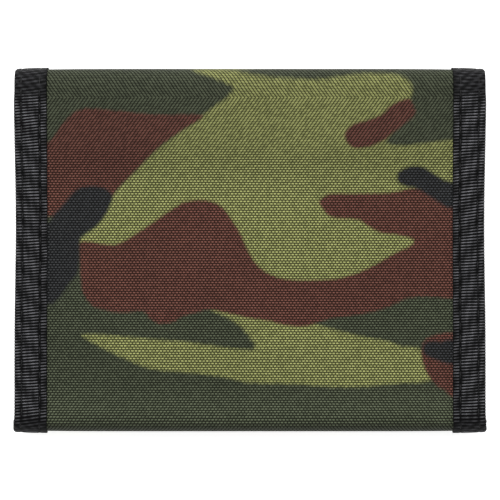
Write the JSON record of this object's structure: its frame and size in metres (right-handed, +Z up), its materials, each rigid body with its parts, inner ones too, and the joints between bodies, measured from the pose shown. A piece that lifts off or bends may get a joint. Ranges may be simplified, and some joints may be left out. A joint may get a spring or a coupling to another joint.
{
  "type": "trifold wallet",
  "caption": "Fabric trifold wallet, folded shut: a printed cloth shell with bound edges, a bill compartment, an ID window, card slots and a zipped coin pocket, closed by hook and loop.",
  "frame": {"origin": "on the ground under the middle of the folded wallet", "axes": "+X along the folds, +Y towards the outer fold, +Z up, out of the centre panel"},
  "size_m": [0.12, 0.092, 0.0145],
  "materials": {
    "camouflage_shell": "woven oxford cloth printed in a four-colour camouflage of green, olive, brown and black",
    "black_lining": "plain black pack cloth",
    "black_tape": "ribbed black binding tape",
    "hook_tape": "black hook tape",
    "loop_tape": "black loop tape",
    "clear_film": "clear soft vinyl",
    "window_frame": "black pack cloth with a turned edge",
    "zip_coil": "black nylon coil",
    "zip_metal": "black enamelled zinc"
  },
  "bodies": {
    "outer_flap": {"outer_flap_shell": "camouflage_shell", "outer_flap_lining": "black_lining", "outer_flap_binding_left": "black_tape", "outer_flap_shell_binding_right": "black_tape", "outer_flap_lining_binding_right": "black_tape", "outer_flap_end_binding": "black_tape", "hook_patch": "hook_tape", "coin_pocket_front": "black_lining", "coin_pocket_top_strip": "black_lining", "zip_tape_lower": "black_tape", "zip_tape_upper": "black_tape", "zip_coil_lower": "zip_coil", "zip_coil_upper": "zip_coil", "zip_stop_left": "zip_metal", "zip_stop_right": "zip_metal"},
    "outer_spine": {"outer_spine_shell": "camouflage_shell", "outer_spine_lining": "black_lining", "outer_spine_binding_left": "black_tape", "outer_spine_shell_binding_right": "black_tape", "outer_spine_lining_binding_right": "black_tape"},
    "centre": {"centre_shell": "camouflage_shell", "centre_lining": "black_lining", "centre_binding_left": "black_tape", "centre_shell_binding_right": "black_tape", "centre_lining_binding_right": "black_tape", "id_window_film": "clear_film", "id_window_frame": "window_frame"},
    "inner_spine": {"inner_spine_shell": "camouflage_shell", "inner_spine_lining": "black_lining", "inner_spine_binding_left": "black_tape", "inner_spine_shell_binding_right": "black_tape", "inner_spine_lining_binding_right": "black_tape"},
    "inner_flap": {"inner_flap_shell": "camouflage_shell", "inner_flap_lining": "black_lining", "inner_flap_binding_left": "black_tape", "inner_flap_shell_binding_right": "black_tape", "inner_flap_lining_binding_right": "black_tape", "inner_flap_end_binding": "black_tape", "loop_patch": "loop_tape", "card_pocket_1": "black_lining", "card_pocket_2": "black_lining", "card_pocket_3": "black_lining"},
    "zip_slider": {"zip_slider": "zip_metal"},
    "zip_pull": {"zip_pull": "zip_metal"}
  },
  "joints": [
    {"name": "outer_fold_lower", "type": "hinge", "parent": "outer_flap", "child": "outer_spine", "pos_m": [0, 0.0451, 0.0009], "axis": [-1, 0, 0], "range_deg": [0, 90]},
    {"name": "outer_fold_upper", "type": "hinge", "parent": "outer_spine", "child": "centre", "pos_m": [0, 0.0451, 0.0136], "axis": [-1, 0, 0], "range_deg": [0, 90]},
    {"name": "inner_fold_upper", "type": "hinge", "parent": "centre", "child": "inner_spine", "pos_m": [0, -0.0451, 0.0136], "axis": [-1, 0, 0], "range_deg": [0, 90]},
    {"name": "inner_fold_lower", "type": "hinge", "parent": "inner_spine", "child": "inner_flap", "pos_m": [0, -0.0451, 0.0058], "axis": [-1, 0, 0], "range_deg": [0, 90]},
    {"name": "zip_slide", "type": "slide", "parent": "outer_flap", "child": "zip_slider", "axis": [-1, 0, 0], "range_m": [0, 0.072]},
    {"name": "zip_pull_swing", "type": "hinge", "parent": "zip_slider", "child": "zip_pull", "pos_m": [0.036, 0.029, 0.0068], "axis": [0, 1, 0], "range_deg": [0, 10]}
  ],
  "couplings": [
    {"joint": "outer_fold_upper", "follows": "outer_fold_lower", "ratio": 1},
    {"joint": "inner_fold_upper", "follows": "outer_fold_lower", "ratio": 0.5},
    {"joint": "inner_fold_lower", "follows": "outer_fold_lower", "ratio": 0.5}
  ]
}
